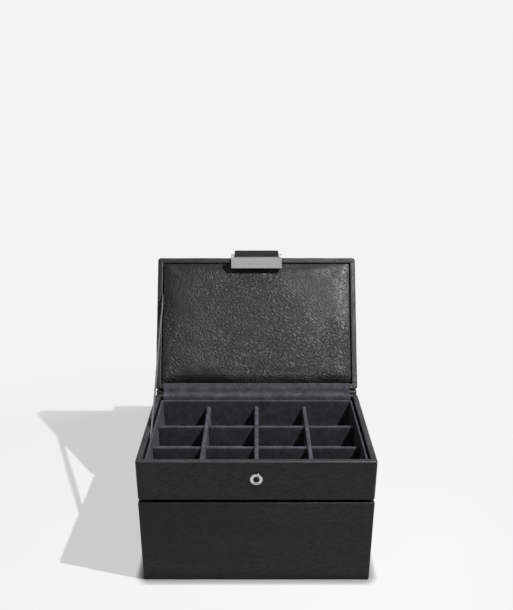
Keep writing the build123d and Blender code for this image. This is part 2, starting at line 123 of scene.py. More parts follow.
def rounded_loop(half_x, half_y, radius):
    """A rectangle with round corners, as points that run anticlockwise from the front right corner."""
    corners = [(1, -1, -90), (1, 1, 0), (-1, 1, 90), (-1, -1, 180)]
    spans = [round(2 * half_y / loop_step), round(2 * half_x / loop_step)] * 2
    arcs = []
    for side_x, side_y, start in corners:
        turns = [math.radians(start + 90 * i / corner_steps) for i in range(corner_steps + 1)]
        middle = (side_x * (half_x - radius), side_y * (half_y - radius))
        arcs.append([(middle[0] + radius * math.cos(a), middle[1] + radius * math.sin(a)) for a in turns])
    loop = []
    for number, points in enumerate(arcs):
        first, last = points[-1], arcs[(number + 1) % 4][0]
        loop.extend(points)
        for i in range(1, spans[number]):
            share = i / spans[number]
            loop.append(tuple(a + share * (b - a) for a, b in zip(first, last)))
    return loop


def skin(loops, ring=False):
    """Faces between loops of equal length. A ring joins the last loop to the first, others are closed."""
    count = len(loops[0])
    faces = []
    for row in range(len(loops) if ring else len(loops) - 1):
        below, above = row * count, ((row + 1) % len(loops)) * count
        for i in range(count):
            j = (i + 1) % count
            faces.append((below + i, below + j, above + j, above + i))
    if not ring:
        faces.append(tuple(reversed(range(count))))
        faces.append(tuple(range(len(loops) * count - count, len(loops) * count)))
    return faces


def quarter(centre, radius, start, end, count=4):
    """Points of an arc in (inset, height), from one angle to another in degrees."""
    turns = [math.radians(start + (end - start) * i / count) for i in range(count + 1)]
    return [(centre[0] + radius * math.cos(a), centre[1] + radius * math.sin(a)) for a in turns]


def rise(inset, low, high, step=3 * mm):
    """Points straight up or down one face, without its two ends."""
    count = max(1, round(abs(high - low) / step))
    return [(inset, low + (high - low) * i / count) for i in range(1, count)]


def matched_loop(outer, base, inner):
    """A loop with as many points as the outer one, whose own count differs. Both have (x, y, radius)."""
    radius = inner[2]
    loop = []
    for spot in outer:
        place = []
        for value, base_half, half in zip(spot, base, inner):
            straight = base_half - base[2]
            over = max(0.0, abs(value) - straight) / base[2]
            share = min(abs(value) / straight, 1.0)
            place.append(math.copysign(share * (half - radius) + over * radius, value))
        loop.append(place)
    return loop


def wrap(name, half_x, half_y, radius, profile, place, ring=False):
    """A rounded outline carried along a profile of (inset, height) pairs."""
    base = (half_x, half_y, radius)
    outer = rounded_loop(*base)
    loops = []
    for inset, height in profile:
        inner = (half_x - inset, half_y - inset, max(radius - inset, least_radius))
        loop = rounded_loop(*inner)
        if len(loop) != len(outer):
            loop = matched_loop(outer, base, inner)
        loops.append([place(x, y, height) for x, y in loop])
    return new_piece(name, [point for loop in loops for point in loop], skin(loops, ring=ring))


def ripple(piece, height, size, seed=0.0):
    """Moves a surface in and out by a gentle noise, as leather or cloth over a board does."""
    shift = Vector((seed, -seed, 2 * seed))
    normals = [v.normal.copy() for v in piece.data.vertices]
    for vertex, normal in zip(piece.data.vertices, normals):
        vertex.co += normal * (height * noise.noise(vertex.co / size + shift))
    piece.data.update()
    return piece


def dress(piece, finish, slot, body, *nodes):
    """Finishes a piece, lets it ride on a body, and hides the CAD nodes that it stands for."""
    piece.data.materials.append(finish)
    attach(piece, body)
    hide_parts(*nodes)


def dress_bend(piece, finish, slot, bodies, ends, *nodes):
    """Finishes a piece that spans two bodies, bakes its place into its points, and hides the CAD nodes it
    stands for. The bodies and the ends are not used.
    """
    piece.data.materials.append(finish)
    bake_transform(piece)
    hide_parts(*nodes)


print("walls are", round(wall / mm, 1), "mm thick, the box is", round(2 * half_width / mm, 1), "mm wide")

# %% [markdown]
# ## Boards with soft edges
# Dividers, the drawer's front and the pads are boards or foam under a cover. A grid wrapped round a
# box, with every point near an edge pulled onto a circle, gives an even rounding on all twelve
# edges and leaves points in the middle that can swell or ripple. A bevel would round the edges
# too, but it leaves the large faces as single polygons.


# %% A helper for boards with soft edges
def stops(low, high, edge, step):
    """Grid lines from low to high: close together on the rounding, then at even steps."""
    near = [0, 0.3, 0.6, 1.0]
    inner_low, inner_high = low + edge, high - edge
    count = max(1, round((inner_high - inner_low) / step))
    middle = [inner_low + (inner_high - inner_low) * i / count for i in range(1, count)]
    return [low + edge * n for n in near] + middle + [high - edge * n for n in reversed(near)]


def soft_board(name, low, high, edge, step=4 * mm, place=None):
    """A box from one corner to the other with all its edges rounded."""
    lines = [stops(low[i], high[i], edge, step) for i in range(3)]
    counts = [len(line) for line in lines]
    index, points, faces = {}, [], []

    def corner(key):
        if key not in index:
            raw = [lines[i][key[i]] for i in range(3)]
            core = [min(max(raw[i], low[i] + edge), high[i] - edge) for i in range(3)]
            out = Vector(raw) - Vector(core)
            spot = Vector(core) + (out.normalized() * edge if out.length > 0 else out)
            index[key] = len(points)
            points.append(place(*spot) if place else spot)
        return index[key]

    for axis in range(3):
        u, v = (axis + 1) % 3, (axis + 2) % 3
        for side in (0, counts[axis] - 1):
            for i in range(counts[u] - 1):
                for j in range(counts[v] - 1):
                    quad = []
                    for a, b in ((i, j), (i + 1, j), (i + 1, j + 1), (i, j + 1)):
                        key = [0, 0, 0]
                        key[axis], key[u], key[v] = side, a, b
                        quad.append(corner(tuple(key)))
                    faces.append(tuple(quad))
    return new_piece(name, points, faces)


print("a test of stops gives", len(stops(0, 20 * mm, 1 * mm, 4 * mm)), "grid lines on 20 mm")

# %% [markdown]
# ## Bands of cloth and leather
# The hinge cloths and the strap are flat bands. Each follows a line that is drawn in the side view,
# and is as wide as it needs to be across. A band keeps its own flat measure as a UV map, so that the
# nap or grain stays on it when the lid moves and the band bends.


# %% A helper for bands
def even_line(points, step):
    """A line of (y, z) points, resampled at even distances."""
    lengths = [0.0]
    for a, b in zip(points, points[1:]):
        lengths.append(lengths[-1] + math.dist(a, b))
    count = max(2, round(lengths[-1] / step))
    line, k = [], 0
    for i in range(count + 1):
        target = lengths[-1] * i / count
        while k < len(points) - 2 and lengths[k + 1] < target:
            k += 1
        span = max(lengths[k + 1] - lengths[k], 1e-9)
        share = min(max((target - lengths[k]) / span, 0.0), 1.0)
        line.append(tuple(a + share * (b - a) for a, b in zip(points[k], points[k + 1])))
    return line, lengths[-1]


def bezier(start, out, back, end, count=16):
    """Points of one smooth curve in the side view."""
    knots = [Vector((0, *p)) for p in (start, out, back, end)]
    return [(p.y, p.z) for p in interpolate_bezier(*knots, count)]


def band(name, points, half_x, thickness, step=1.5 * mm, step_x=3 * mm, wave=0.0, thin_end=1.0):
    """A flat band across the box that follows a side-view line. Its UVs are in metres."""
    line, length = even_line(points, step)
    edge = min(thickness, 1.0 * mm)
    count = max(2, round(2 * (half_x - edge) / step_x))
    inner = [-half_x + edge + 2 * (half_x - edge) * i / count for i in range(count + 1)]
    across = [-half_x, -half_x + 0.3 * edge] + inner + [half_x - 0.3 * edge, half_x]
    shares = [0.35, 0.8] + [1.0] * len(inner) + [0.8, 0.35]
    sides = {1: [], -1: []}
    for i, (y, z) in enumerate(line):
        before, after = line[max(i - 1, 0)], line[min(i + 1, len(line) - 1)]
        run = Vector((after[0] - before[0], after[1] - before[1])).normalized()
        normal = Vector((-run.y, run.x))
        part = i / (len(line) - 1)
        half = thickness / 2 * (1 + (thin_end - 1) * max(0.0, part - 0.55) / 0.45)
        free = math.sin(math.pi * part) ** 2
        for x, share in zip(across, shares):
            sway = wave * free * noise.noise(Vector((x / (14 * mm), part * 2.5, 0.3)))
            for side in (1, -1):
                spot = normal * (side * half * share + sway)
                sides[side].append((x, y + spot.x, z + spot.y))
    columns, rows = len(across), len(line)
    points_out = sides[1] + sides[-1]
    offset = rows * columns
    faces = []
    for r in range(rows - 1):
        for c in range(columns - 1):
            a = r * columns + c
            quad = (a, a + 1, a + columns + 1, a + columns)
            faces.append(quad)
            faces.append(tuple(offset + k for k in reversed(quad)))
        for c in (0, columns - 1):
            a, b = r * columns + c, (r + 1) * columns + c
            faces.append((a, b, offset + b, offset + a))
    for r in (0, rows - 1):
        for c in range(columns - 1):
            a, b = r * columns + c, r * columns + c + 1
            faces.append((a, b, offset + b, offset + a))
    piece = new_piece(name, points_out, faces)
    measure = piece.data.uv_layers.new(name="flat_measure")
    for corner in piece.data.loops:
        k = corner.vertex_index % offset
        measure.data[corner.index].uv = (across[k % columns], length * (k // columns) / (rows - 1))
    return piece, length


print("helpers for loops, boards and bands are ready")

# %% [markdown]
# ## Node helpers
# Materials are built from nodes. A helper that adds a node takes a number or another node's output
# for each input, so a recipe reads from left to right. An effect that several finishes share becomes
# a node group: it is built once and used in each material with its own values.


# %% Helpers for materials
def feed(socket, value):
    """Gives an input a value, or a link if the value is another node's output."""
    if isinstance(value, bpy.types.NodeSocket):
        socket.id_data.links.new(value, socket)
    else:
        socket.default_value = value


def add(tree, kind, values=None, **settings):
    """Adds a node, sets its options, and feeds its inputs, which are named or numbered."""
    node = tree.nodes.new(kind)
    for key, value in settings.items():
        setattr(node, key, value)
    for key, value in (values or {}).items():
        feed(node.inputs[key], value)
    return node


def maths(tree, operation, *values):
    """The result of a Math node."""
    return add(tree, "ShaderNodeMath", dict(enumerate(values)), operation=operation).outputs[0]


def vectors(tree, operation, *values):
    """The result of a Vector Math node."""
    return add(tree, "ShaderNodeVectorMath", dict(enumerate(values)), operation=operation).outputs[0]


def scaled(tree, source, factor):
    """A place or colour times a number."""
    return add(tree, "ShaderNodeVectorMath", {0: source, "Scale": factor}, operation="SCALE").outputs[0]


def remap(tree, value, start, end, smooth=False):
    """A value carried from one range to another. Each range is a (low, high) pair."""
    values = {"Value": value, "From Min": start[0], "From Max": start[1], "To Min": end[0], "To Max": end[1]}
    kind = "SMOOTHSTEP" if smooth else "LINEAR"
    return add(tree, "ShaderNodeMapRange", values, interpolation_type=kind).outputs["Result"]


def noise_of(tree, place, scale, detail, roughness=0.5, distortion=0.0, output="Fac"):
    """A noise that is read at a place."""
    values = {"Vector": place, "Scale": scale, "Detail": detail, "Roughness": roughness}
    return add(tree, "ShaderNodeTexNoise", {**values, "Distortion": distortion}).outputs[output]


def ramp(tree, value, dark, pale, low=0.0, high=1.0):
    """A colour that runs from dark to pale between two values."""
    node = add(tree, "ShaderNodeValToRGB", {"Fac": value})
    for element, place, colour in zip(node.color_ramp.elements, (low, high), (dark, pale)):
        element.position = place
        element.color = (*colour, 1)
    return node.outputs["Color"]


def bump(tree, shader, height, depth, strength=1.0):
    """Lets a height stand out of the surface by a depth in metres."""
    relief = add(tree, "ShaderNodeBump", {"Strength": strength, "Distance": depth, "Height": height})
    feed(shader.inputs["Normal"], relief.outputs["Normal"])


def new_group(name, inputs, outputs):
    """A shader node group. An input without a default is a place, and the others are numbers."""
    tree = bpy.data.node_groups.new(name, "ShaderNodeTree")
    for label, default in inputs.items():
        kind = "NodeSocketVector" if default is None else "NodeSocketFloat"
        socket = tree.interface.new_socket(label, in_out="INPUT", socket_type=kind)
        if default is not None:
            socket.default_value = default
    for label in outputs:
        tree.interface.new_socket(label, in_out="OUTPUT", socket_type="NodeSocketFloat")
    return tree, tree.nodes.new("NodeGroupInput").outputs, tree.nodes.new("NodeGroupOutput").inputs


def use_group(tree, group, values):
    """The outputs of a node group that is placed in a material."""
    node = tree.nodes.new("ShaderNodeGroup")
    node.node_tree = group
    for key, value in values.items():
        feed(node.inputs[key], value)
    return node.outputs


def new_finish(name):
    """A material with one Principled shader, and the tree to build on."""
    finish = bpy.data.materials.new(name)
    finish.use_nodes = True
    tree = finish.node_tree
    return finish, tree, tree.nodes["Principled BSDF"]


print("node helpers are ready")

# %% [markdown]
# ## Leather grain
# Leather has small rounded pebbles with fine creases between them. Cells of a Voronoi texture give
# the pebbles: the distance to a cell's edge is low in the creases. The cells look drawn with a
# ruler, so two noises bend the place they are read at: a wide one makes the creases flow across the
# hide, and a fine one roughens them. A second, smaller set of cells breaks up the pebbles, and a
# wide mask leaves some parts of the hide smoother than others.

# %% Build the leather grain group
grain, grain_in, grain_out = new_group(
    "leather_grain",
    {"Place": None, "Cells per metre": 900.0, "Flow": 2.0, "Bend": 0.5, "Smoothest part": 0.3, "Pores": 0.1},
    ["Height", "Crease"],
)
large_share, small_share = 0.75, 0.25
small_scale = 2.1


def bent_place(tree, source, wave, amount):
    """A place pushed about by a noise of the given scale."""
    push = noise_of(tree, source, wave, 2.0, roughness=0.55, output="Color")
    middle = vectors(tree, "SUBTRACT", push, (0.5, 0.5, 0.5))
    return vectors(tree, "ADD", source, scaled(tree, middle, amount))


def pebbles(tree, source, width):
    """Rounded cells: 0 in the creases and 1 on the pebbles."""
    cells = add(tree, "ShaderNodeTexVoronoi", {"Vector": source, "Scale": 1.0}, feature="DISTANCE_TO_EDGE")
    return remap(tree, cells.outputs["Distance"], (0, width), (0, 1), smooth=True)


base_place = scaled(grain, grain_in["Place"], grain_in["Cells per metre"])
flowing = bent_place(grain, base_place, 0.11, grain_in["Flow"])
rough_place = bent_place(grain, flowing, 0.9, grain_in["Bend"])
large = pebbles(grain, rough_place, 0.17)
moved_along = vectors(grain, "ADD", scaled(grain, rough_place, small_scale), (5, 5, 5))
small = maths(grain, "MULTIPLY", pebbles(grain, moved_along, 0.2), small_share)
both = maths(grain, "MULTIPLY_ADD", large, large_share, small)
hide = noise_of(grain, base_place, 0.05, 2.0)
part = remap(grain, hide, (0.38, 0.62), (grain_in["Smoothest part"], 1), smooth=True)
patchy = maths(grain, "MULTIPLY", both, part)
pores = noise_of(grain, base_place, 3.5, 2.0)
feed(grain_out["Height"], maths(grain, "MULTIPLY_ADD", pores, grain_in["Pores"], patchy))
feed(grain_out["Crease"], maths(grain, "SUBTRACT", 1, large))
print("leather grain group has", len(grain.nodes), "nodes")

# %% [markdown]
# ## Black leathers
# The case cover is a coated leather: dark, with a low sheen and a fine grain that is drawn out along
# the box. The panel has a larger and deeper grain that runs aslant, and the strap a finer one. The
# colour runs between two near blacks by the grain's height, and the creases are duller than the
# pebbles. On the upper box, what faces up or down is painted paler, as a painted highlight along the
# rim and the turned edges.


# %% Make the leathers
def leather(name, tones, cells, depth, sheen, shine, on_band=False, **more):
    """A leather finish. depth is the grain's height, sheen its roughness, and shine its specular level.

    More may hold turn and long, which lay the grain and draw it out, rim, how much paler level faces
    are painted, as a painted highlight, and values of the grain group.
    """
    turn, long, rim = more.pop("turn", (0, 0, 0)), more.pop("long", 1), more.pop("rim", 1)
    finish, tree, shader = new_finish(name)
    place = add(tree, "ShaderNodeTexCoord").outputs
    lay = {"Vector": place["UV" if on_band else "Object"], "Rotation": turn, "Scale": (long, 1, 1)}
    laid = add(tree, "ShaderNodeMapping", lay, vector_type="TEXTURE").outputs["Vector"]
    texture = use_group(tree, grain, {"Place": laid, "Cells per metre": cells, **more})
    # The colour follows the grain's height: the leather's own grain tone, with painted shade in the creases.
    colour = ramp(tree, texture["Height"], *tones, 0.1, 0.9)
    facing = add(tree, "ShaderNodeSeparateXYZ", {0: place["Normal"]}).outputs["Z"]
    # Faces that look up or down are painted paler by rim: a painted highlight on rims and turned edges.
    painted_highlight = remap(tree, maths(tree, "ABSOLUTE", facing), (0.4, 0.85), (1, rim))
    feed(shader.inputs["Base Color"], scaled(tree, colour, painted_highlight))
    feed(shader.inputs["Roughness"], remap(tree, texture["Crease"], (0, 1), (sheen, sheen + 0.2)))
    bump(tree, shader, texture["Height"], depth)
    shader.inputs["Specular IOR Level"].default_value = shine
    return finish


lid_along = Vector((0, -cosine, sine))
lid_inward = Vector((0, -sine, -cosine))
crease_across, crease_down = 0.72, 0.69
crease_line = (Vector((1, 0, 0)) * crease_across - lid_along * crease_down).normalized()
crease_turn = Matrix((crease_line, lid_inward.cross(crease_line), lid_inward)).transposed().to_euler()
# Each pair runs from the crease tone to the pebble tone; the dark end paints shade into the creases.
case_tones = ((0.0035, 0.0035, 0.0038), (0.009, 0.009, 0.0095))
lid_tones = ((0.001, 0.001, 0.0012), (0.010, 0.010, 0.0106))
pad_tones = ((0.0005, 0.0005, 0.0006), (0.005, 0.005, 0.0053))
fine_grain = {"long": 8, "Flow": 0.7, "Bend": 0.25, "Smoothest part": 0.5}
wide_grain = {"turn": crease_turn, "long": 2.2, "Flow": 4.0, "Bend": 0.6, "Smoothest part": 0.15}
wide_grain["Pores"] = 0.02
case_leather = leather("case_leather", case_tones, 900, 0.09 * mm, 0.38, 0.2, **fine_grain)
# The rim leather paints up- and down-facing faces up to 4.2 times paler, as a painted highlight.
rim_highlight_leather = leather("rim_highlight_leather", case_tones, 900, 0.09 * mm, 0.38, 0.2, rim=4.2, **fine_grain)
lid_leather = leather("lid_leather", lid_tones, 600, 0.26 * mm, 0.42, 0.37, long=2)
pad_leather = leather("pad_leather", pad_tones, 430, 0.46 * mm, 0.46, 0.36, **wide_grain)
strap_leather = leather("strap_leather", lid_tones, 1300, 0.05 * mm, 0.5, 0.3, on_band=True)
print("leathers:", case_leather.name, pad_leather.name, strap_leather.name)

# %% [markdown]
# ## Suede, felt and ribbon
# Suede has a short nap that lies in patches, some lighter and some darker as it was stroked. Three
# noises give the patches, the fibres and the streaks. Real cloth also glows a little at grazing
# angles, which is what the sheen of the shader is for. Upright faces are painted darker than the
# tops, as painted shade.

# %% Build the nap group
nap, nap_in, nap_out = new_group(
    "cloth_nap", {"Place": None, "Fibres per metre": 2200.0, "Streak": None}, ["Height", "Tone"]
)
nap_place = scaled(nap, nap_in["Place"], nap_in["Fibres per metre"])
fibres = noise_of(nap, nap_place, 1.0, 4.0, roughness=0.7)
patches = noise_of(nap, nap_place, 0.06, 2.0, distortion=0.6)
streaks = noise_of(nap, vectors(nap, "MULTIPLY", nap_place, nap_in["Streak"]), 0.45, 3.0, roughness=0.6)
cloth = maths(nap, "MULTIPLY_ADD", streaks, 0.5, maths(nap, "MULTIPLY", fibres, 0.5))
feed(nap_out["Height"], cloth)
feed(nap_out["Tone"], maths(nap, "MULTIPLY_ADD", cloth, 0.7, maths(nap, "MULTIPLY", patches, 0.3)))


def napped(name, dark, pale, fibres_per_metre, depth, on_band=False, painted_upright_shade=1.0):
    """A suede or felt finish. Upright faces get only a share of its colour, as painted shade."""
    finish, tree, shader = new_finish(name)
    place = add(tree, "ShaderNodeTexCoord").outputs
    values = {"Place": place["UV" if on_band else "Object"], "Fibres per metre": fibres_per_metre}
    values["Streak"] = (1, 0.25, 1) if on_band else (1, 1, 0.25)
    texture = use_group(tree, nap, values)
    colour = ramp(tree, texture["Tone"], dark, pale, 0.4, 0.6)
    facing = add(tree, "ShaderNodeSeparateXYZ", {0: place["Normal"]}).outputs["Z"]
    # Upright faces get a darker colour here: painted shade on the walls of the compartments.
    feed(shader.inputs["Base Color"], scaled(tree, colour, remap(tree, facing, (0.2, 0.7), (painted_upright_shade, 1))))
    bump(tree, shader, texture["Height"], depth, strength=0.8)
    shader.inputs["Roughness"].default_value = 0.95
    shader.inputs["Specular IOR Level"].default_value = 0.2
    shader.inputs["Sheen Weight"].default_value = 0.03
    shader.inputs["Sheen Roughness"].default_value = 0.5
    return finish


suede_tones = ((0.013, 0.0135, 0.016), (0.048, 0.050, 0.059))
band_tones = ((0.012, 0.0125, 0.015), (0.042, 0.044, 0.052))
# The suede's walls keep 0.46 of its colour, as painted shade.
suede = napped("blue_grey_suede", *suede_tones, 2200, 0.12 * mm, painted_upright_shade=0.46)
suede_band = napped("blue_grey_suede_band", *band_tones, 2200, 0.12 * mm, on_band=True)
felt = napped("black_felt", (0.008, 0.008, 0.008), (0.016, 0.016, 0.016), 1500, 0.2 * mm)
print("nap finishes:", suede.name, felt.name)

# %% [markdown]
# A woven ribbon has fine ribs across its width. A sine of the distance along the band is enough,
# because the band carries its own flat measure.

# %% Make the ribbon finish
ribs_per_metre = 1600.0
ribs_inputs = {"Place": None, "Ribs per metre": ribs_per_metre}
ribs, ribs_in, ribs_out = new_group("fine_ribs", ribs_inputs, ["Height"])
down_band = add(ribs, "ShaderNodeSeparateXYZ", {0: ribs_in["Place"]}).outputs["Y"]
ribs_angle = maths(ribs, "MULTIPLY", ribs_in["Ribs per metre"], 2 * math.pi)
ribs_wave = maths(ribs, "SINE", maths(ribs, "MULTIPLY", down_band, ribs_angle))
feed(ribs_out["Height"], maths(ribs, "MULTIPLY_ADD", ribs_wave, 0.5, 0.5))

ribbon_finish, tree, shader = new_finish("grey_ribbon")
ribbon_place = add(tree, "ShaderNodeTexCoord").outputs["UV"]
ribbon_ribs = use_group(tree, ribs, {"Place": ribbon_place, "Ribs per metre": ribs_per_metre})["Height"]
ribbon_colour = ramp(tree, ribbon_ribs, (0.055, 0.057, 0.062), (0.115, 0.118, 0.127))
feed(shader.inputs["Base Color"], ribbon_colour)
bump(tree, shader, ribbon_ribs, 0.06 * mm, strength=0.6)
shader.inputs["Roughness"].default_value = 0.7
shader.inputs["Sheen Weight"].default_value = 0.05
print("ribbon finish:", ribbon_finish.name)

# %% [markdown]
# ## Metal
# The bar is brushed along its length, so its scratches are long in x and fine across. Stretching
# the place that a noise is read at does that. The press stud is polished, with only a trace of
# unevenness. Inside boards that no one sees get a plain fibre-board finish of their own.

# %% Make the metals and the board
brushing, brushing_in, brushing_out = new_group(
    "brushed_lines", {"Place": None, "Lines per metre": 9000.0}, ["Height"]
)
along_x = vectors(brushing, "MULTIPLY", brushing_in["Place"], (0.02, 1, 1))
lines_place = scaled(brushing, along_x, brushing_in["Lines per metre"])
feed(brushing_out["Height"], noise_of(brushing, lines_place, 1.0, 3.0, roughness=0.65))


def metal(name, dark, pale, lines, depth, smoothest, roughest):
    """A metal finish whose scratches change its tone, its gloss and its surface."""
    finish, tree, shader = new_finish(name)
    place = add(tree, "ShaderNodeTexCoord").outputs["Object"]
    scratches = use_group(tree, brushing, {"Place": place, "Lines per metre": lines})["Height"]
    tones = [(level, level, level + blue) for level, blue in (dark, pale)]
    feed(shader.inputs["Base Color"], ramp(tree, scratches, *tones, 0.3, 0.7))
    feed(shader.inputs["Roughness"], remap(tree, scratches, (0, 1), (smoothest, roughest)))
    bump(tree, shader, scratches, depth, strength=0.6)
    shader.inputs["Metallic"].default_value = 1.0
    return finish


brushed_metal = metal("brushed_nickel", (0.46, 0.005), (0.64, 0.005), 9000, 0.02 * mm, 0.28, 0.5)
stud_metal = metal("polished_nickel", (0.52, 0.01), (0.62, 0.01), 2500, 0.003 * mm, 0.1, 0.22)
# A dark nickel paints shade into the socket's hole and round its rolled outer edge.
painted_shade_metal = metal("painted_shade_nickel", (0.03, 0), (0.07, 0), 2500, 0.003 * mm, 0.2, 0.35)
board_finish = napped("fibre_board", (0.10, 0.075, 0.05), (0.16, 0.12, 0.085), 1800, 0.05 * mm)
print("metals:", brushed_metal.name, stud_metal.name)

# %% [markdown]
# ## The upper box
# Four mitred walls are wrapped in one cover that turns over the rim and under the bottom edge, so
# the seams of the boards don't show. One ring does this: its profile goes up the outside, over the
# rounded rim and down the inside. A gentle ripple keeps the reflections from being dead straight.


# %% Wrap the upper walls
def standing(x, y, z):
    """A place in the room, for pieces that stand upright on the box's centre."""
    return Vector((x, y, z))


half_depth = back_y
upper_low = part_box("upper_wall_left")[0].z
upper_base_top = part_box("upper_base")[1].z
upper_profile = [(wall, upper_low), (1.5 * mm, upper_low)]
upper_profile += quarter((0.7 * mm, upper_low + 0.7 * mm), 0.7 * mm, 270, 180)
upper_profile += rise(0, upper_low + 0.7 * mm, rim_z - 1.6 * mm)
upper_profile += quarter((1.6 * mm, rim_z - 1.6 * mm), 1.6 * mm, 180, 90, 6)
upper_profile += [(2.8 * mm, rim_z)]
upper_profile += quarter((wall - 0.9 * mm, rim_z - 0.9 * mm), 0.9 * mm, 90, 0)
upper_profile += rise(wall, rim_z - 0.9 * mm, upper_base_top, 5 * mm)
upper_cover = wrap("upper_cover", half_width, half_depth, 2.6 * mm, upper_profile, standing, ring=True)
ripple(upper_cover, 0.12 * mm, 16 * mm)
upper_walls = [f"upper_wall_{side}" for side in ("front", "back", "left", "right")]
# The upper cover's rim and bottom edge carry the painted highlight of the rim leather.
dress(upper_cover, rim_highlight_leather, "case_leather", "upper_case", *upper_walls)
print("upper cover:", len(upper_cover.data.vertices), "points")

# %% [markdown]
# ## The lower unit
# Its two sides and back are one U in plan, open to the front where the drawer runs. A profile is
# carried along an open line round the U, and its two front ends are closed.


# %% Wrap the lower sides and back
def u_line(inset, radius, front, back, step=4 * mm, arc=5):
    """Points round the U at one inset, from the right front end to the left front end."""
    corner = max(radius - inset, 0.3 * mm)
    x, y = half_width - inset, back - inset
    straight = round((back - front) / step)
    across = round(2 * half_width / step)
    right = [(x, front + (y - corner - front) * i / straight) for i in range(straight)]
    turn = [math.radians(90 * i / arc) for i in range(arc + 1)]
    right += [(x - corner + corner * math.cos(a), y - corner + corner * math.sin(a)) for a in turn]
    middle = [((x - corner) * (1 - 2 * i / across), y) for i in range(1, across)]
    return right + middle + [(-px, py) for px, py in reversed(right)]


lower_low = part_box("lower_back")[0].z - 0.7 * mm
lower_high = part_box("lower_back")[1].z
case_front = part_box("lower_side_left")[0].y
lower_profile = [(wall, lower_low), (1.2 * mm, lower_low)]
lower_profile += quarter((0.6 * mm, lower_low + 0.6 * mm), 0.6 * mm, 270, 180)
lower_profile += rise(0, lower_low + 0.6 * mm, lower_high - 0.9 * mm, 4 * mm)
lower_profile += quarter((0.9 * mm, lower_high - 0.9 * mm), 0.9 * mm, 180, 90)
lower_profile += quarter((wall - 0.7 * mm, lower_high - 0.7 * mm), 0.7 * mm, 90, 0)
lower_profile += rise(wall, lower_high - 0.7 * mm, lower_low, 8 * mm)
lines = [[(x, y, z) for x, y in u_line(inset, 1.4 * mm, case_front, back_y)] for inset, z in lower_profile]
stations = [[lines[k][i] for k in range(len(lines))] for i in range(len(lines[0]))]
lower_points = [point for station in stations for point in station]
lower_cover = new_piece("lower_cover", lower_points, skin(stations))
ripple(lower_cover, 0.1 * mm, 18 * mm, seed=3.0)
lower_walls = ["lower_side_left", "lower_side_right", "lower_back"]
dress(lower_cover, case_leather, "case_leather", "lower_case", *lower_walls)
print("lower cover:", len(lower_cover.data.vertices), "points")

# %% [markdown]
# ## The drawer
# The front is a board that covers the whole opening, wrapped like the case. The tray behind it is
# lined with the same suede as the compartments, and a soft pad lies on its floor. The tray is a ring
# with a floor, so one profile makes it.

# %% Make the drawer's front
low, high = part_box("drawer_front")
low.z -= 0.7 * mm
drawer_cover = soft_board("drawer_cover", low, high, 0.9 * mm, 4 * mm)
ripple(drawer_cover, 0.12 * mm, 18 * mm, seed=5.0)
dress(drawer_cover, case_leather, "case_leather", "drawer", "drawer_front")
print("drawer front:", len(drawer_cover.data.vertices), "points")

# %% Make the drawer's tray
tray_low, tray_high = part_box("drawer_side_left")
back_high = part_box("drawer_back")[1]
tray_half_x = -tray_low.x
tray_centre_y = (tray_low.y + tray_high.y) / 2
tray_half_y = (tray_high.y - tray_low.y) / 2
drawer_wall = 4 * mm
tray_floor_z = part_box("drawer_floor")[1].z


def in_drawer(x, y, z):
    """A place in the drawer's tray, whose back stands a little taller than its sides."""
    taller = back_high.z - tray_high.z
    near_back = min(max((y - (tray_half_y - drawer_wall - 0.6 * mm)) / (0.4 * mm), 0.0), 1.0)
    upper = min(max((z - (tray_high.z - 1.5 * mm)) / (0.5 * mm), 0.0), 1.0)
    return Vector((x, y + tray_centre_y, z + taller * near_back * upper))


tray_profile = [(3 * mm, tray_low.z), (0.5 * mm, tray_low.z), (0, tray_low.z + 0.5 * mm)]
tray_profile += rise(0, tray_low.z + 0.5 * mm, tray_high.z - 1 * mm, 8 * mm)
tray_profile += quarter((1 * mm, tray_high.z - 1 * mm), 1 * mm, 180, 90)
tray_profile += quarter((drawer_wall - 1 * mm, tray_high.z - 1 * mm), 1 * mm, 90, 0)
tray_profile += rise(drawer_wall, tray_high.z - 1 * mm, tray_floor_z + 0.5 * mm, 8 * mm)
tray_profile += [(drawer_wall, tray_floor_z + 0.5 * mm), (drawer_wall + 0.5 * mm, tray_floor_z)]
tray_profile += [(drawer_wall + 2 * mm, tray_floor_z)]
drawer_tray = wrap("drawer_tray", tray_half_x, tray_half_y, 1 * mm, tray_profile, in_drawer)
ripple(drawer_tray, 0.08 * mm, 12 * mm, seed=7.0)
tray_boards = ["inner_front", "side_left", "side_right", "back", "floor"]
dress(drawer_tray, suede, "suede", "drawer", *[f"drawer_{board}" for board in tray_boards])
print("drawer tray:", len(drawer_tray.data.vertices), "points")

# %% [markdown]
# ## Foam pads
# The lid's panel and the drawer's floor pad are foam under a cover. The drawer's pad is thin and
# lies flat, so its shape is only drawn. The lid's panel is full: its cover is drawn a little low,
# and a cloth simulation blows it up from inside while its foot is pinned where it is glued. Only
# the way out of the lid is kept, and it fades towards a limit, so that the pad keeps its real height
# and gets no folds. The shape is then applied, and one subdivision smooths it.

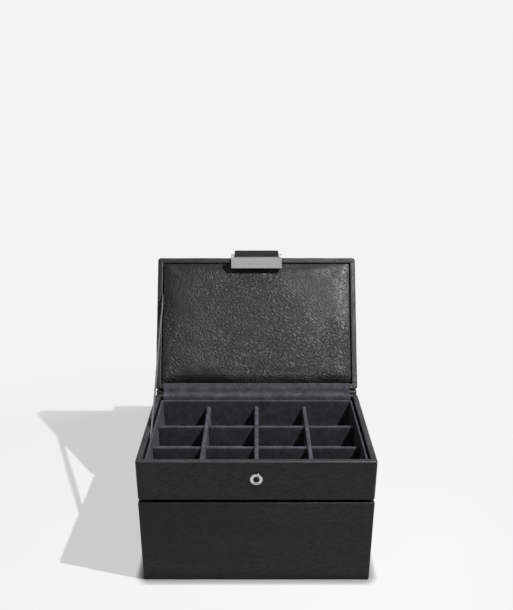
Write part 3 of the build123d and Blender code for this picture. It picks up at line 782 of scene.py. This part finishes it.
# %% A helper that fills a pad by simulation
def fill_pad(piece, pinned, outward, pressure, most, frames=20):
    """Blows up a cover whose pinned points stay, and applies how far it swelled, up to the most given."""
    group = piece.vertex_groups.new(name="glued")
    group.add(pinned, 1.0, "ADD")
    cloth = piece.modifiers.new("cover", "CLOTH")
    cloth.settings.quality = 6
    cloth.settings.mass = 0.2
    cloth.settings.tension_stiffness = 12
    cloth.settings.compression_stiffness = 6
    cloth.settings.shear_stiffness = 6
    cloth.settings.bending_stiffness = 0.15
    cloth.settings.use_pressure = True
    cloth.settings.uniform_pressure_force = pressure
    cloth.settings.vertex_group_mass = "glued"
    cloth.settings.effector_weights.gravity = 0
    cloth.collision_settings.use_collision = False
    start = [v.co.copy() for v in piece.data.vertices]
    for number in range(1, frames + 1):
        bpy.context.scene.frame_set(number)
    graph = bpy.context.evaluated_depsgraph_get()
    result = piece.evaluated_get(graph).to_mesh()
    ends = [v.co.copy() for v in result.vertices]
    piece.evaluated_get(graph).to_mesh_clear()
    piece.modifiers.remove(cloth)
    furthest = 0.0
    for vertex, first, last in zip(piece.data.vertices, start, ends):
        swell = max((last - first).dot(outward), 0.0)
        furthest = max(furthest, swell)
        vertex.co = first + outward * most * math.tanh(swell / most)
    bpy.context.scene.frame_set(1)
    piece.data.update()
    return furthest


print("pads are filled by simulation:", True)

# %% Make the lid's padded panel
panel_half = 84.95 * mm
panel_low, panel_high = 5.05 * mm, 116.45 * mm
panel_bottom = -4.9 * mm
pad_edge_top = -3.3 * mm
pad_margin = 9.5 * mm
pad_height = 4.9 * mm
edge_sag = 0.15 * mm
pad_pressure, most_swell = 1.0, 0.6 * mm
pad_drops = {"low": 4.9 * mm, "high": 1.7 * mm, "side": 1.9 * mm}


def pad_drop(distance, drop):
    """How far the pad's face lies below its middle at a distance from one edge."""
    share = min(max(1 - distance / pad_margin, 0.0), 1.0)
    return drop * (1 - math.cos(math.pi / 2 * share))


def pad_place(x, along, inward):
    """A place on the panel. Its top rolls down to the border over a wide soft margin."""
    share_x = x / panel_half
    share_y = (along - (panel_low + panel_high) / 2) / ((panel_high - panel_low) / 2)
    up = min(max((inward - panel_bottom) / (pad_edge_top - panel_bottom), 0.0), 1.0)
    across = pad_drop(panel_half - abs(x), pad_drops["side"])
    down = pad_drop(along - panel_low, pad_drops["low"]) + pad_drop(panel_high - along, pad_drops["high"])
    lift = max(pad_height - math.hypot(across, down), 0.0)
    x -= edge_sag * share_x * (1 - share_y**2)
    along -= edge_sag * share_y * (1 - share_x**2)
    return on_lid(x, along, inward + up**2 * lift)


pad_low = (-panel_half, panel_low, panel_bottom)
pad_high = (panel_half, panel_high, pad_edge_top)
lid_panel = soft_board("lid_panel", pad_low, pad_high, 0.7 * mm, 2.0 * mm, place=pad_place)
lid_origin = on_lid(0, 0, 0)
glue_top = -3.2 * mm
glued = [v.index for v in lid_panel.data.vertices if (v.co - lid_origin).dot(lid_inward) < glue_top]
swelled = fill_pad(lid_panel, glued, lid_inward, pad_pressure, most_swell)
print("lid panel swelled by up to", round(swelled / mm, 2), "mm")
ripple(lid_panel, 0.16 * mm, 9 * mm, seed=11.0)
ripple(lid_panel, 0.22 * mm, 26 * mm, seed=13.0)
smoother = lid_panel.modifiers.new("smoother", "SUBSURF")
smoother.levels = smoother.render_levels = 1
dress(lid_panel, pad_leather, "pad_leather", "lid", "lid_pad", "lid_panel_board")
print("lid panel:", len(lid_panel.data.vertices), "points")

# %% Make the drawer's floor pad
low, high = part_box("drawer_pad")


def drawer_pad_place(x, y, z):
    """A place on the drawer's pad, a little higher in the middle than at its edges."""
    share_x = x / high.x
    share_y = (y - (low.y + high.y) / 2) / ((high.y - low.y) / 2)
    up = (z - low.z) / (high.z - low.z)
    return Vector((x, y, z - 0.2 * mm * up * (share_x**4 + share_y**4)))


drawer_pad = soft_board("drawer_floor_pad", low, high, 0.7 * mm, 4 * mm, place=drawer_pad_place)
ripple(drawer_pad, 0.12 * mm, 14 * mm, seed=17.0)
dress(drawer_pad, suede, "suede", "drawer", "drawer_pad")
print("drawer floor pad:", len(drawer_pad.data.vertices), "points")

# %% [markdown]
# ## The lid
# Board and frame are wrapped as one, with a pocket for the padded panel. The profile starts on the
# outer face, goes round the edge, over the flat border, and down into the pocket.

# %% Wrap the lid
lid_middle = lid_depth / 2


def lid_place(x, y, height):
    """A place on the lid, from its middle."""
    return on_lid(x, y + lid_middle, height)


outer = -lid_thickness
lid_profile = [(8 * mm, outer), (3 * mm, outer)]
lid_profile += quarter((1.4 * mm, outer + 1.4 * mm), 1.4 * mm, 270, 180, 5)
lid_profile += rise(0, outer + 1.4 * mm, -1.4 * mm)
lid_profile += quarter((1.4 * mm, -1.4 * mm), 1.4 * mm, 180, 90, 5)
lid_profile += [(2.8 * mm, 0)]
lid_profile += quarter((wall - 0.7 * mm, -0.7 * mm), 0.7 * mm, 90, 0)
lid_profile += [(wall, -3 * mm), (wall, -5 * mm), (wall + 1.5 * mm, -5 * mm)]
lid_cover = wrap("lid_cover", half_width, lid_middle, 2.6 * mm, lid_profile, lid_place)
ripple(lid_cover, 0.12 * mm, 16 * mm, seed=19.0)
lid_rails = [f"lid_rail_{side}" for side in ("hinge", "free", "left", "right")]
dress(lid_cover, lid_leather, "case_leather", "lid", "lid_board", *lid_rails)
print("lid cover:", len(lid_cover.data.vertices), "points")

# %% [markdown]
# ## The compartments
# The insert is a tray of thin walls with crossing dividers, all covered with suede. The column
# dividers stand slightly higher and run through. Each divider is a soft board that reaches a little
# into the walls and the floor, so that no slit shows where the suede meets.

# %% Make the insert's tray
insert_low, insert_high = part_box("insert_wall_front")[0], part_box("insert_wall_back")[1]
insert_floor_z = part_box("insert_floor")[1].z
insert_centre_y = (insert_low.y + insert_high.y) / 2
insert_wall = 1.8 * mm


def in_insert(x, y, z):
    """A place in the insert, from its centre."""
    return Vector((x, y + insert_centre_y, z))


insert_profile = [(3 * mm, insert_low.z), (0.3 * mm, insert_low.z), (0, insert_low.z + 0.3 * mm)]
insert_profile += rise(0, insert_low.z + 0.3 * mm, insert_high.z - 0.9 * mm, 4 * mm)
insert_profile += quarter((0.9 * mm, insert_high.z - 0.9 * mm), 0.9 * mm, 180, 0, 8)
insert_profile += rise(insert_wall, insert_high.z - 0.9 * mm, insert_floor_z + 0.8 * mm)
insert_profile += quarter((insert_wall + 0.8 * mm, insert_floor_z + 0.8 * mm), 0.8 * mm, 180, 270)
insert_profile += [(insert_wall + 2 * mm, insert_floor_z)]
insert_half_y = (insert_high.y - insert_low.y) / 2
insert_tray = wrap("insert_tray", insert_high.x, insert_half_y, 1.5 * mm, insert_profile, in_insert)
ripple(insert_tray, 0.12 * mm, 9 * mm, seed=23.0)
insert_walls = [f"insert_wall_{side}" for side in ("front", "back", "left", "right")]
dress(insert_tray, suede, "suede", "upper_case", *insert_walls, "insert_floor")
print("insert tray:", len(insert_tray.data.vertices), "points")

# %% Make the dividers
reach = 0.9 * mm
for node in ("column_divider_1", "column_divider_2", "column_divider_3", "row_divider_1", "row_divider_2"):
    low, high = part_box(node)
    along_x = node.startswith("row")
    extra = Vector((reach if along_x else 0, 0 if along_x else reach, 0))
    start = low - extra - Vector((0, 0, reach))
    divider = soft_board(f"suede_{node}", start, high + extra, 1.4 * mm, 3 * mm)
    ripple(divider, 0.14 * mm, 7 * mm, seed=29.0 + low.x * 100 + low.y * 70)
    dress(divider, suede, "suede", "upper_case", node)
print("five dividers made")

# %% [markdown]
# ## Cloth hinge, spine and ribbon
# Nothing rigid holds the lid. A suede lining is glued to the back wall, crosses the gap and is
# glued to the lid, and a leather spine does the same outside. Both bend as the lid turns; here each
# is made in its open shape only. The ribbon on the left stops the open lid. On the real box it folds
# into the slot beside the insert when the lid shuts; here it is made as it stands open.

# %% Make the hinge lining and the spine
lining_half = 83 * mm
inner_back = back_y - wall
lining_y = inner_back - 0.05 * mm - 0.4 * mm
lining_z = rim_z + 0.05 * mm + 0.4 * mm
lid_foot = on_lid(0, 0.9 * mm, 0.45 * mm)
lid_lap = on_lid(0, 5.2 * mm, 0.45 * mm)
up_wall = [(lining_y, rim_z - 26 * mm), (lining_y, rim_z - 1.2 * mm)]
rim_end = (lining_y + 2 * mm, lining_z)
over_rim = bezier(up_wall[1], (lining_y, lining_z), (lining_y + 0.6 * mm, lining_z), rim_end)
gap_low = (back_y - 1.2 * mm, lining_z + 0.1 * mm)
gap_out = (back_y + 0.2 * mm, lining_z + 0.3 * mm)
to_lid = bezier(gap_low, gap_out, (lid_foot.y - 0.6 * mm, lid_foot.z - 1.0 * mm), (lid_foot.y, lid_foot.z))
lining_line = up_wall + over_rim[1:] + to_lid + [(lid_lap.y, lid_lap.z)]
lining, lining_length = band("hinge_cloth", lining_line, lining_half, 0.8 * mm, step=1 * mm, wave=0.25 * mm)
case_and_lid = ("upper_case", "lid")
lining_ends = [(0, back_y - 2 * mm, rim_z), (0, lid_foot.y + 0.4 * mm, lid_foot.z + 0.8 * mm)]
dress_bend(lining, suede_band, "suede", case_and_lid, lining_ends, "hinge_lining")
print("hinge lining is", round(lining_length / mm, 1), "mm long before it is glued")

spine_half = 89.2 * mm
spine_y = back_y + 0.45 * mm
spine_top = on_lid(0, -0.45 * mm, 1 * mm - lid_thickness)
spine_low = on_lid(0, -0.55 * mm, -2.4 * mm)
spine_line = [(spine_y, rim_z - 15 * mm), (spine_y, rim_z + 0.2 * mm)]
spine_out, spine_back = (spine_y, rim_z + 2 * mm), (spine_low.y - 0.6 * mm, spine_low.z - 0.6 * mm)
spine_line += bezier(spine_line[1], spine_out, spine_back, (spine_low.y, spine_low.z))[1:]
spine_line += [(spine_top.y, spine_top.z)]
spine, spine_length = band("hinge_spine_cover", spine_line, spine_half, 0.8 * mm, step=1 * mm, wave=0.15 * mm)
spine_ends = [(0, back_y, rim_z - 0.5 * mm), (0, spine_low.y, spine_low.z)]
dress_bend(spine, strap_leather, "case_leather", case_and_lid, spine_ends, "hinge_spine")
print("spine is", round(spine_length / mm, 1), "mm long")

# %% Make the ribbon
ribbon_x = -84.8 * mm
ribbon_foot = Vector((ribbon_x, -3.9 * mm, rim_z))
ribbon_head = on_lid(ribbon_x, 82.7 * mm, 0)
ribbon_way = ribbon_head - ribbon_foot
ribbon_run = ribbon_way.length
ribbon_dir = ribbon_way.normalized()
ribbon_side = Vector((0, -ribbon_dir.z, ribbon_dir.y))
ribbon_start, ribbon_end = -19 * mm, ribbon_run + 3 * mm
ribbon_length = ribbon_end - ribbon_start
ribbon_width = 7 * mm
half_thick = 0.22 * mm
rows = 70
face = [(-0.8, 1), (-0.3, 1), (0.3, 1), (0.8, 1)]
outline = [(-1, 0), *face, (1, 0), *[(side, -thick) for side, thick in reversed(face)]]
around = len(outline)
ribbon_loops = []
for i in range(rows + 1):
    place = ribbon_start + ribbon_length * i / rows
    free = math.sin(math.pi * min(max(place / ribbon_run, 0.0), 1.0))
    loop = []
    for side, thick in outline:
        curl = 0.25 * mm * free * math.sin(place / (17 * mm) + side)
        out = Vector((thick * half_thick + curl, 0, 0))
        loop.append(ribbon_foot + ribbon_dir * place + ribbon_side * (side * ribbon_width / 2) + out)
    ribbon_loops.append(loop)
ribbon = new_piece("ribbon", [point for loop in ribbon_loops for point in loop], skin(ribbon_loops))
ribbon_uv = ribbon.data.uv_layers.new(name="flat_measure")
for corner in ribbon.data.loops:
    row, number = divmod(corner.vertex_index, around)
    ribbon_uv.data[corner.index].uv = (ribbon_width * number / around, ribbon_length * row / rows)
ribbon_ends = [ribbon_foot - ribbon_way * 0.05, ribbon_foot + ribbon_way * 0.9]
dress_bend(ribbon, ribbon_finish, "ribbon", case_and_lid, ribbon_ends, "stay_ribbon")
print("ribbon is", round(ribbon_length / mm, 1), "mm long")

# %% [markdown]
# ## The clasp's strap
# One leather strap is sewn on the lid's outer face, stands past the free edge, and bends forward to
# the bar. Two joints move it, so it is two pieces that meet in the middle of the standing part: the
# lower one runs from the lid to the fold, the upper one from the fold to the strap's end. Both are
# made in the open shape only.

# %% Make the strap
leather_centre = -lid_thickness - 0.95 * mm
top_y, top_z = joints["flap_lift"]["pos_m"][1:]
pin_y, pin_z = joints["bar_hang"]["pos_m"][1:]
strap_half, strap_thick = 20 * mm, 1.8 * mm
along_dir = Vector((-cosine, sine))
meet = on_lid(0, 126.6 * mm, leather_centre)
root_start = on_lid(0, 91.5 * mm, leather_centre)
root_line = [(root_start.y, root_start.z), (meet.y, meet.z)]
strap_low, _ = band("strap_root", root_line, strap_half, strap_thick, step=1.2 * mm)
bend_ends = [on_lid(0, along, leather_centre) for along in (120.8 * mm, 125.4 * mm)]
low_bodies, low_nodes = ("lid", "flap_fold"), ("flap_root", "flap_riser")
dress_bend(strap_low, strap_leather, "flap_leather", low_bodies, bend_ends, *low_nodes)

over = (top_y - 6.5 * mm, top_z + 2.1 * mm)
loop_radius = 1.15 * mm
loop_top = (pin_y + 0.2 * mm, pin_z + loop_radius)
strap_line = bezier(
    (meet.y, meet.z),
    (meet.y + 3.2 * mm * along_dir.x, meet.z + 3.2 * mm * along_dir.y),
    (over[0] + 4.4 * mm, over[1] + 0.3 * mm),
    over,
    14,
)
over_out, loop_back = (over[0] - 5 * mm, over[1] - 0.3 * mm), (loop_top[0] + 6 * mm, loop_top[1] + 0.1 * mm)
strap_line += bezier(over, over_out, loop_back, loop_top, 14)[1:]
for degrees in range(110, 271, 20):
    angle = math.radians(degrees)
    strap_line.append((pin_y + loop_radius * math.cos(angle), pin_z + loop_radius * math.sin(angle)))
strap_high, _ = band("strap_end", strap_line, strap_half, strap_thick, step=0.9 * mm, thin_end=0.45)
top_ends = [(0, meet.y, meet.z), (0, *over)]
dress_bend(strap_high, strap_leather, "flap_leather", ("flap_fold", "flap"), top_ends, "flap_leather")
print("strap pieces:", len(strap_low.data.vertices), "and", len(strap_high.data.vertices), "points")

# %% [markdown]
# ## The bar
# A solid metal bar hangs on a pin through the strap's loop. It has a round ear at each end of its
# top edge, and a hollow behind for the loop. It is cut like the real one: a block and two ears are
# joined, then the hollow is taken out, and a bevel breaks every edge so that it catches the light.

# %% Make the bar
bar_low, bar_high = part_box("clasp_bar")
bar_half = bar_high.x
ear_inner = 20.3 * mm
bar_top = pin_z + 0.6 * mm
edge_angle = math.radians(35)


def cut_block(name, low, high):
    """A plain helper block for joining and cutting."""
    outline = [(low[0], low[1]), (high[0], low[1]), (high[0], high[1]), (low[0], high[1])]
    corners = [(x, y, z) for z in (low[2], high[2]) for x, y in outline]
    faces = [(0, 3, 2, 1), (4, 5, 6, 7), (0, 1, 5, 4), (1, 2, 6, 5), (2, 3, 7, 6), (3, 0, 4, 7)]
    return new_piece(name, corners, faces)


def cut_rod(name, x_low, x_high, y, z, radius, count=48):
    """A helper rod along x."""
    turns = [2 * math.pi * i / count for i in range(count)]
    rim = [(y + radius * math.cos(a), z + radius * math.sin(a)) for a in turns]
    loops = [[(x, *spot) for spot in rim] for x in (x_low, x_high)]
    return new_piece(name, loops[0] + loops[1], skin(loops))


def combine(piece, other, how):
    """Joins or cuts two meshes and removes the helper."""
    step = piece.modifiers.new("combine", "BOOLEAN")
    step.operation = how
    step.solver = "EXACT"
    step.object = other
    graph = bpy.context.evaluated_depsgraph_get()
    made = bpy.data.meshes.new_from_object(piece.evaluated_get(graph))
    piece.modifiers.remove(step)
    piece.data = made
    bpy.data.objects.remove(other)


bar = cut_block("metal_bar", (-bar_half, bar_low.y, bar_low.z), (bar_half, bar_high.y, bar_top))
for side in (-1, 1):
    ends = sorted((side * ear_inner, side * bar_half))
    combine(bar, cut_rod("ear", ends[0], ends[1], pin_y, pin_z, 2.6 * mm), "UNION")
hollow_low = pin_z - 1.95 * mm
hollow_start = (-ear_inner, bar_low.y + 1.2 * mm, hollow_low)
hollow_end = (ear_inner, bar_high.y + 2 * mm, bar_top + 5 * mm)
combine(bar, cut_block("hollow", hollow_start, hollow_end), "DIFFERENCE")
rounding = bar.modifiers.new("rounding", "BEVEL")
rounding.width = 0.4 * mm
rounding.segments = 3
rounding.limit_method = "ANGLE"
rounding.angle_limit = edge_angle
rounding.harden_normals = True
bar.data.materials.clear()
for face in bar.data.polygons:
    face.material_index = 0
    face.use_smooth = True
bar.data.set_sharp_from_angle(angle=edge_angle)
dress(bar, brushed_metal, "brushed_metal", "bar", "clasp_bar")
print("bar:", len(bar.data.vertices), "points before rounding")

# %% [markdown]
# ## The press stud's socket
# A socket is a turned cap: a rolled outer edge, a shallow dish, a raised lip and a hole with a
# spring inside. Turning a profile round an axis is the natural way to make it.

# %% Turn the socket
socket_low, socket_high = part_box("snap_socket")
socket_z = (socket_low.z + socket_high.z) / 2
socket_radius = socket_high.x


def turned(name, profile, count=64):
    """Turns (radius, forward) pairs round the socket's axis. Forward is out of the box's front."""
    turns = [2 * math.pi * i / count for i in range(count)]
    loops = [
        [(radius * math.cos(a), front_y - forward, socket_z + radius * math.sin(a)) for a in turns]
        for radius, forward in profile
    ]
    return new_piece(name, [p for loop in loops for p in loop], skin(loops))


def profile_mm(pairs):
    """Profile pairs written in millimetres, as metres."""
    return [(radius * mm, forward * mm) for radius, forward in pairs]


socket_pairs = [(2.9, -4.6), (2.95, -0.2), (5.0, -0.1), (5.05, 0.15), (4.95, 0.55), (4.65, 0.9)]
socket_pairs += [(4.2, 1.06), (3.8, 1.0), (3.5, 0.8), (3.2, 0.7), (2.95, 0.78), (2.7, 0.98)]
socket_pairs += [(2.45, 1.05), (2.25, 0.95)]
socket_pairs += [(2.15, 0.7), (2.12, 0.2), (2.1, -1.4), (2.0, -1.7), (0.2, -1.75)]
socket = turned("stud_socket", profile_mm(socket_pairs))
hole_radius, ring_radius = 2.5 * mm, 4.75 * mm
socket.data.materials.append(stud_metal)
socket.data.materials.append(painted_shade_metal)
# Faces in the hole and on the rolled outer edge get the dark nickel: painted shade.
for face in socket.data.polygons:
    middle = face.center - Vector((0, 0, socket_z))
    if not hole_radius < math.hypot(middle.x, middle.z) < ring_radius:
        face.material_index = 1
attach(socket, "upper_case")
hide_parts("snap_socket")
print("socket:", len(socket.data.vertices), "points,", round(2 * socket_radius / mm, 1), "mm across")

# %% [markdown]
# ## Finishes on the boards that stay
# Some CAD boards and the small turned parts already have the right shape, and stay. Each gets the
# finish of what covers it.

# %% Dress the CAD pieces that stay
kept = {
    "plinth": case_leather,
    "deck_lip": case_leather,
    "lower_deck": felt,
    "lower_floor": board_finish,
    "drawer_stop": board_finish,
    "upper_base": board_finish,
    "plinth_felt": felt,
    "base_felt": felt,
    "snap_backing": stud_metal,
    "bar_pin": stud_metal,
    "clasp_stud": stud_metal,
}
for node, finish in kept.items():
    slots = frame["nodes"][node].data.materials
    slots.clear()
    slots.append(finish)
print("dressed", len(kept), "CAD pieces")

# %% [markdown]
# ## Floor, light and camera
# The floor is pale and plain, and runs out to a horizon of the same tone. Camera rays see part of
# that tone as its own colour, so the ground looks even while the box still lays its shadow on it.
# Close to the box an occlusion darkens it, as where something rests. A key lamp on the upper right
# sets the shadow, a wide soft lamp fills the front, and the world fills the rest.

# %% Make the floor
ground_tone = 0.90
floor_size = 4.0
floor_z = -0.02 * mm
floor_corners = ((-1, -1), (1, -1), (1, 1), (-1, 1))
floor_points = [(x * floor_size, y * floor_size, floor_z) for x, y in floor_corners]
floor = new_piece("floor", floor_points, [(0, 1, 2, 3)])
floor_finish, tree, shader = new_finish("pale_floor")
shader.inputs["Base Color"].default_value = (0.8, 0.8, 0.8, 1)
shader.inputs["Roughness"].default_value = 0.9
shader.inputs["Specular IOR Level"].default_value = 0.1
near_tone, lit_share = 0.684, 0.182
contact_reach, contact_power = 8 * mm, 6.0
shadow_middle, near_reach, far_reach = (-0.1, 0.02, 0), 0.21, 0.42


def mixed(tree, share, first, second):
    """Two shaders mixed by a share."""
    return add(tree, "ShaderNodeMixShader", {0: share, 1: first, 2: second}).outputs[0]


def either(tree, *values):
    """The greatest of several values."""
    result = values[0]
    for value in values[1:]:
        result = maths(tree, "MAXIMUM", result, value)
    return result


own_light = add(tree, "ShaderNodeEmission", {"Color": (1, 1, 1, 1), "Strength": ground_tone}).outputs[0]
occlusion = {"Color": (1, 1, 1, 1), "Distance": contact_reach}
contact = add(tree, "ShaderNodeAmbientOcclusion", occlusion, samples=16).outputs["AO"]
contact_tone = maths(tree, "POWER", contact, contact_power)
near_light = add(tree, "ShaderNodeEmission", {"Color": contact_tone, "Strength": near_tone}).outputs[0]
ground_place = add(tree, "ShaderNodeNewGeometry").outputs["Position"]
distance = add(tree, "ShaderNodeVectorMath", {0: ground_place, 1: shadow_middle}, operation="DISTANCE")
far = remap(tree, distance.outputs["Value"], (near_reach, far_reach), (0, 1), smooth=True)
near_ground = mixed(tree, lit_share, near_light, shader.outputs[0])
seen_ground = mixed(tree, far, near_ground, own_light)
rays = add(tree, "ShaderNodeLightPath").outputs
seen = either(tree, rays["Is Camera Ray"], rays["Is Glossy Ray"], rays["Is Transmission Ray"])
ground = mixed(tree, seen, shader.outputs[0], seen_ground)
feed(tree.nodes["Material Output"].inputs["Surface"], ground)
floor.data.materials.append(floor_finish)
print("floor is", 2 * floor_size, "m wide")

# %% Make the world and the lamps
sky_tone = 0.26
world = bpy.data.worlds.new("studio")
bpy.context.scene.world = world
world.use_nodes = True
tree = world.node_tree
tree.nodes.clear()
sky = add(tree, "ShaderNodeBackground", {"Color": (1, 1, 1, 1), "Strength": sky_tone}).outputs[0]
seen_sky = add(tree, "ShaderNodeBackground", {"Color": (1, 1, 1, 1), "Strength": ground_tone}).outputs[0]
rays = add(tree, "ShaderNodeLightPath").outputs
seen = either(tree, rays["Is Camera Ray"], rays["Is Transmission Ray"])
add(tree, "ShaderNodeOutputWorld", {"Surface": mixed(tree, seen, sky, seen_sky)})


def lamp(name, place, target, size, power, even=False):
    """A round area lamp that looks at a point. An even one doesn't fade with distance."""
    data = bpy.data.lights.new(name, "AREA")
    data.shape = "DISK"
    data.size = size
    data.energy = power
    if even:
        data.use_nodes = True
        fade = add(data.node_tree, "ShaderNodeLightFalloff", {"Strength": 1.0})
        feed(data.node_tree.nodes["Emission"].inputs["Strength"], fade.outputs["Constant"])
    piece = bpy.data.objects.new(name, data)
    piece.location = place
    piece.rotation_euler = (Vector(target) - Vector(place)).to_track_quat("-Z", "Y").to_euler()
    bpy.context.scene.collection.objects.link(piece)
    return piece


key = lamp("key", (0.395, -0.201, 0.815), (0, 0, 0.05), 0.014, 25.0, even=True)
fill = lamp("fill", (-0.9, -1.4, 1.1), (0, 0, 0.1), 1.4, 5.0)
print("lamps:", key.name, fill.name)

# %% Place the camera
camera_data = bpy.data.cameras.new("camera")
camera_pitch = 0.429
camera_data.lens = 42.303
camera_data.sensor_width = 36.0
camera_data.shift_x = -0.00158
camera_data.shift_y = 0.14992
camera_data.clip_start = 0.01
camera = bpy.data.objects.new("camera", camera_data)
camera.location = (0.854 * mm, -522.0 * mm, 372.24 * mm)
camera.rotation_euler = (math.pi / 2 - camera_pitch, 0, 0)
bpy.context.scene.collection.objects.link(camera)
bpy.context.scene.camera = camera
bpy.context.scene.view_settings.view_transform = "Standard"
print("camera looks down by", round(math.degrees(camera_pitch), 1), "degrees")
